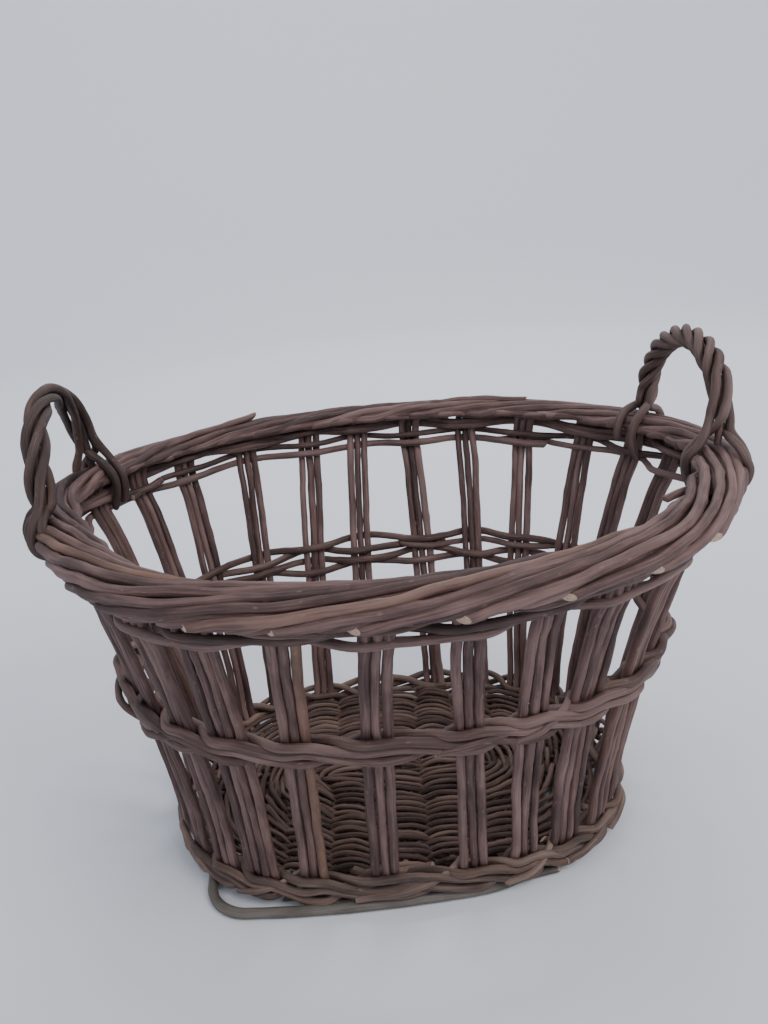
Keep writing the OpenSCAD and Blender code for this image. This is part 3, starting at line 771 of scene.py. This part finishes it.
def handle(side, seed, prefix, half, shift, rise, lean, step_out, twist, orbit, rope_d, core_d,
           tone, feet):
    """A bowed core with rods roped round it, over the border at the right (side 1) or left:
    a half circle on two short legs, half apart and shift behind the middle. twist gives
    turns and orbit the rods' distance from the core, both by the share of the length from
    the front foot. feet gives each rod's front and back foot: its way round the border, how
    far along it stands and the length at which it leaves the leg. step_out is how far out
    on the border the legs stand. tone is how light the rods are painted, which darkens the
    left handle as painted shade and lightens the right one as painted light."""
    foot = [math.degrees(math.asin((shift + s * half) / BORDER_B)) for s in (-1, 1)]
    p = [in_border_at(side, a, step_out, 0.0) for a in foot]
    across = (p[1] - p[0]) / np.linalg.norm(p[1] - p[0])
    level_out = side * np.cross(across, (0, 0, 1.0))
    out = level_out + np.array([0, 0, -math.tan(math.radians(lean))])
    out /= np.linalg.norm(out)
    up = side * np.cross(out, across)
    radius = float(np.linalg.norm(p[1] - p[0])) / 2
    leg = rise - radius
    middle = (p[0] + p[1]) / 2 + leg * up
    length = 2 * leg + math.pi * radius

    def bow(w):
        """Points of the handle's line at lengths w, and the ways out from its middle."""
        a = np.clip((w - leg) / radius, 0, math.pi)[:, None]
        ray = np.sin(a) * up - np.cos(a) * across
        down = np.maximum(leg - w, 0) + np.maximum(w - length + leg, 0)
        return middle + radius * ray - down[:, None] * up, ray

    def at_foot(end, way, move):
        """Points of a foot from its end up to the border's top."""
        return np.array([in_border_at(side, foot[end] + move, *at) for at in way])

    core = Piece(seed)
    core.rod(bow(np.linspace(1, length - 1, 60))[0], core_d, step=3, wander=0.15, tone=tone,
             ends=(0.3, 0.3))
    core.build(f"{prefix}_core_rod", handle_bark, "handle_willow", f"{prefix}_core")
    rope = Piece(seed + 1)
    rng = rope.rng
    shares, turns = np.array(twist, float).T
    orbit_shares, orbits = np.array(orbit, float).T
    for n, (front, front_move, front_leave, back, back_move, back_leave) in enumerate(feet):
        w = np.linspace(front_leave, length - back_leave, 120)
        turn = 2 * math.pi * (n / len(feet) + np.interp(w / length, shares, turns))
        turn = -side * (turn + drift(rng, w, 90, 0.08))
        lift = np.interp(w / length, orbit_shares, orbits) + drift(rng, w, 60, 0.25)
        line, ray = bow(w)
        path = line + (lift * np.sin(turn))[:, None] * ray + (lift * np.cos(turn))[:, None] * out
        path = np.concatenate([at_foot(0, front, front_move), path,
                               at_foot(1, back, back_move)[::-1]])
        rope.rod(path, rope_d * rng.uniform(0.93, 1.07), step=2.2, sides=12, wander=0.12,
                 wave=40, tone=tone + rng.normal(0, 0.6), ends=(0.8, 0.8),
                 warm=max(0.0, rng.normal(0, 0.1)))
    rope.build(f"{prefix}_rope_rods", handle_bark, "handle_willow",
               *(f"{prefix}_rope_{n}" for n in (1, 2, 3)))


# tone=1.1 lightens the right handle's core and rope rods as painted light
handle(side=1, seed=500, prefix="handle_right", half=45, shift=27, rise=71, lean=3.6,
       step_out=0.0, twist=((0, 0), (0.27, 0.38), (0.85, 2.5), (1, 2.6)),
       orbit=((0, 6.4), (0.3, 5.5), (0.5, 4.9), (1, 5.0)), rope_d=5.6, core_d=4.8, tone=1.1,
       feet=((FOOT_OUTSIDE, -7, 24, FOOT_OUTSIDE, 4.5, 22),
             (FOOT_INSIDE, -2.0, 32, FOOT_TUCKED, 3.0, 22),
             (FOOT_INSIDE, 1.0, 30, FOOT_INSIDE, -2.0, 26),
             (FOOT_OUTSIDE, -2.5, 22, FOOT_OUTSIDE, 0, 19)))
# tone=-1.5 darkens the left handle's core and rope rods as painted shade
handle(side=-1, seed=520, prefix="handle_left", half=54.5, shift=12.5, rise=72, lean=3,
       step_out=4.0, twist=((0, 0), (0.35, 0.75), (0.65, 1.35), (1, 1.7)),
       orbit=((0, 5.8), (0.25, 5.4), (0.5, 4.4), (0.62, 5.0), (0.8, 6.6), (1, 8.5)),
       rope_d=5.8, core_d=5.2, tone=-1.5,
       feet=((FOOT_OUTSIDE, -3.0, 22, FOOT_INSIDE, 1.6, 36),
             (FOOT_OUTSIDE, 0.5, 19, FOOT_SUNK, -3.0, 26),
             (FOOT_SUNK, -5.0, 24, FOOT_INSIDE, -1.4, 28),
             (FOOT_OUTSIDE, 3.5, 19, FOOT_OUTSIDE, 1, 22)))


# ---------------------------------------------------------------- floor, light, camera
def plain(name, colour, rough):
    """Even material for the floor."""
    material = bpy.data.materials.new(name)
    material.use_nodes = True
    shader = material.node_tree.nodes["Principled BSDF"]
    shader.inputs["Base Color"].default_value = colour
    shader.inputs["Roughness"].default_value = rough
    return material


def backdrop():
    """Floor that curves up into a round wall, in metres."""
    flat, curve, sides = 2.4, 1.2, 96
    profile = [(0.0, 0.0), (0.6, 0.0), (1.4, 0.0), (flat, 0.0)]
    profile += [(flat + curve * math.sin(a), curve - curve * math.cos(a))
                for a in np.radians(np.arange(7.5, 91, 7.5))]
    profile += [(flat + curve, 2.4), (flat + curve, 3.6)]
    verts = [(0.0, 0.0, 0.0)]
    for r, z in profile[1:]:
        verts += [(r * math.cos(a), r * math.sin(a), z)
                  for a in np.linspace(0, 2 * math.pi, sides, endpoint=False)]
    faces = [(0, 1 + k, 1 + (k + 1) % sides) for k in range(sides)]
    for n in range(len(profile) - 2):
        low, high = 1 + n * sides, 1 + (n + 1) * sides
        faces += [(low + k, high + k, high + (k + 1) % sides, low + (k + 1) % sides)
                  for k in range(sides)]
    mesh = bpy.data.meshes.new("floor")
    mesh.from_pydata(verts, [], faces)
    mesh.polygons.foreach_set("use_smooth", np.ones(len(mesh.polygons), bool))
    mesh.materials.append(plain("floor_pale", srgb(230, 232, 237), 0.8))
    made = bpy.data.objects.new("floor", mesh)
    bpy.context.scene.collection.objects.link(made)
    return made


backdrop()

world = bpy.data.worlds.new("studio")
world.use_nodes = True
background = world.node_tree.nodes["Background"]
background.inputs["Color"].default_value = srgb(212, 217, 226)
background.inputs["Strength"].default_value = 0.95
bpy.context.scene.world = world


def area_light(name, location, target, size, power, colour=(1, 1, 1)):
    data = bpy.data.lights.new(name, "AREA")
    data.shape = "DISK"
    data.size = size
    data.energy = power
    data.color = colour
    lamp = bpy.data.objects.new(name, data)
    lamp.location = location
    lamp.rotation_euler = (Vector(target) - Vector(location)).to_track_quat("-Z", "Y").to_euler()
    bpy.context.scene.collection.objects.link(lamp)


area_light("key", (1.25, -1.25, 1.9), (0, 0, 0.12), 1.3, 29, (1.0, 0.985, 0.965))
area_light("fill", (-1.4, -1.3, 1.5), (0, 0, 0.12), 1.5, 4.5, (0.95, 0.97, 1.0))
area_light("back", (0.3, 1.8, 1.7), (0, 0, 0.12), 1.5, 9, (0.96, 0.98, 1.0))
area_light("wall", (0, 0.9, 2.6), (0, 3.4, 1.0), 1.6, 37, (0.97, 0.98, 1.0))

# Camera at the photograph's viewing angle: where it stands in metres, how far it looks
# down, rolls and turns in degrees, and its lens and sensor in millimetres
CAMERA_AT = (-0.00626, -0.53285, 0.40701)
PITCH, ROLL, YAW = (math.radians(v) for v in (19.92, -5.05, 0.61))
LENS, SENSOR = 30.617, 36
forward = Vector((math.sin(YAW) * math.cos(PITCH), math.cos(YAW) * math.cos(PITCH),
                  -math.sin(PITCH)))
level_right = Vector((math.cos(YAW), -math.sin(YAW), 0))
level_up = level_right.cross(forward)
right = math.cos(ROLL) * level_right + math.sin(ROLL) * level_up
upward = -math.sin(ROLL) * level_right + math.cos(ROLL) * level_up
camera_data = bpy.data.cameras.new("camera")
camera_data.sensor_width = SENSOR
camera_data.lens = LENS
camera_data.clip_start = 0.02
camera = bpy.data.objects.new("camera", camera_data)
turn = Matrix((right, upward, -forward)).transposed().to_4x4()
camera.matrix_world = Matrix.Translation(CAMERA_AT) @ turn
bpy.context.scene.collection.objects.link(camera)
bpy.context.scene.camera = camera
